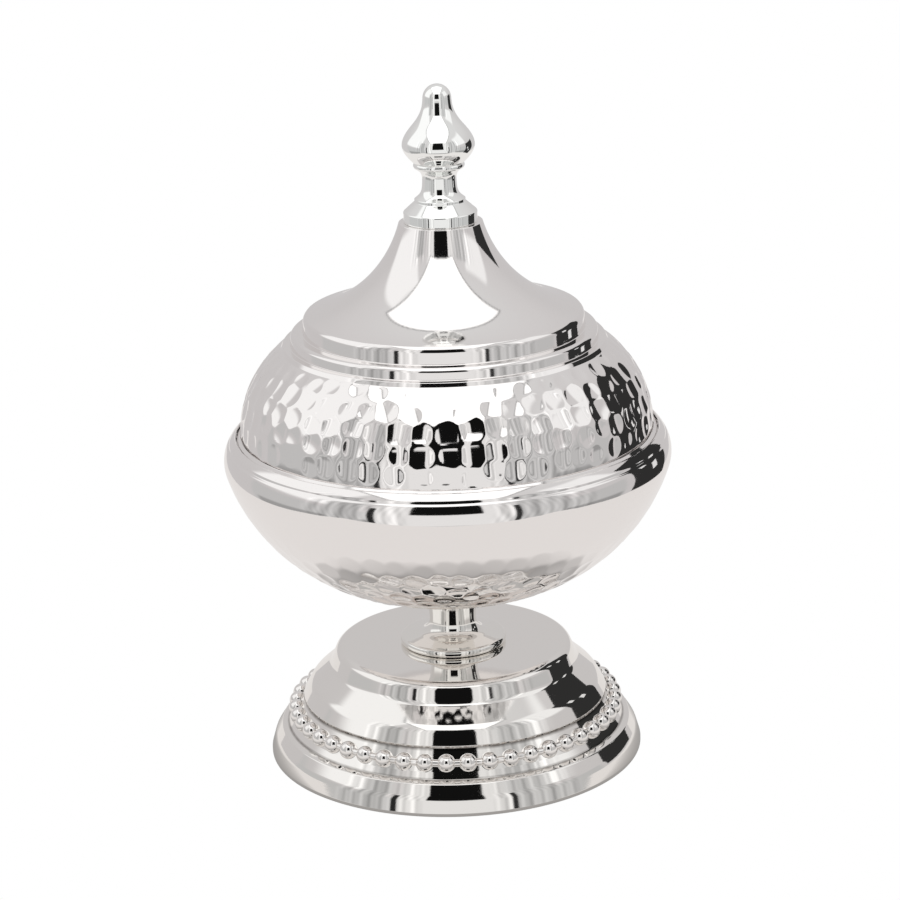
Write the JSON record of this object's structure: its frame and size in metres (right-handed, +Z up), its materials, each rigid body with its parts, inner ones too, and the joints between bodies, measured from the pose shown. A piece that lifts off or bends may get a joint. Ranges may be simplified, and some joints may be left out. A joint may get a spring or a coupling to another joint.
{
  "type": "lidded date dish",
  "caption": "Footed round serving dish for dates or sweets, with a hammered domed lid that lifts off, a turned finial, a spool stem and a stepped foot with a beaded band.",
  "frame": {"origin": "centre of the ring that the foot stands on", "axes": "+Z up along the dish's axis; X and Y are equal, because the dish is round"},
  "size_m": [0.1604, 0.1604, 0.2453],
  "materials": {
    "foot_plate": "polished silver plate over spun brass",
    "bead_plate": "polished silver plate over beaded wire",
    "stem_plate": "polished silver plate over cast brass",
    "bowl_plate": "polished and hammered silver plate over spun brass",
    "lid_plate": "polished and hammered silver plate over spun brass",
    "ring_plate": "polished silver plate over brass",
    "finial_plate": "polished silver plate over cast brass",
    "bolt_steel": "turned steel",
    "washer_brass": "dull brass",
    "nut_brass": "dull brass"
  },
  "bodies": {
    "dish": {"foot_shell": "foot_plate", "pearl_band": "bead_plate", "stem": "stem_plate", "bowl_shell": "bowl_plate", "tie_bolt": "bolt_steel", "bowl_washer": "washer_brass", "foot_washer": "washer_brass", "tie_nut": "nut_brass"},
    "lid": {"lid_shell": "lid_plate", "lid_ring": "ring_plate", "finial": "finial_plate", "finial_washer": "washer_brass", "finial_screw": "bolt_steel"}
  },
  "joints": [
    {"name": "lid_lift", "type": "slide", "parent": "dish", "child": "lid", "axis": [0, 0, 1], "range_m": [0, 0.09]}
  ]
}
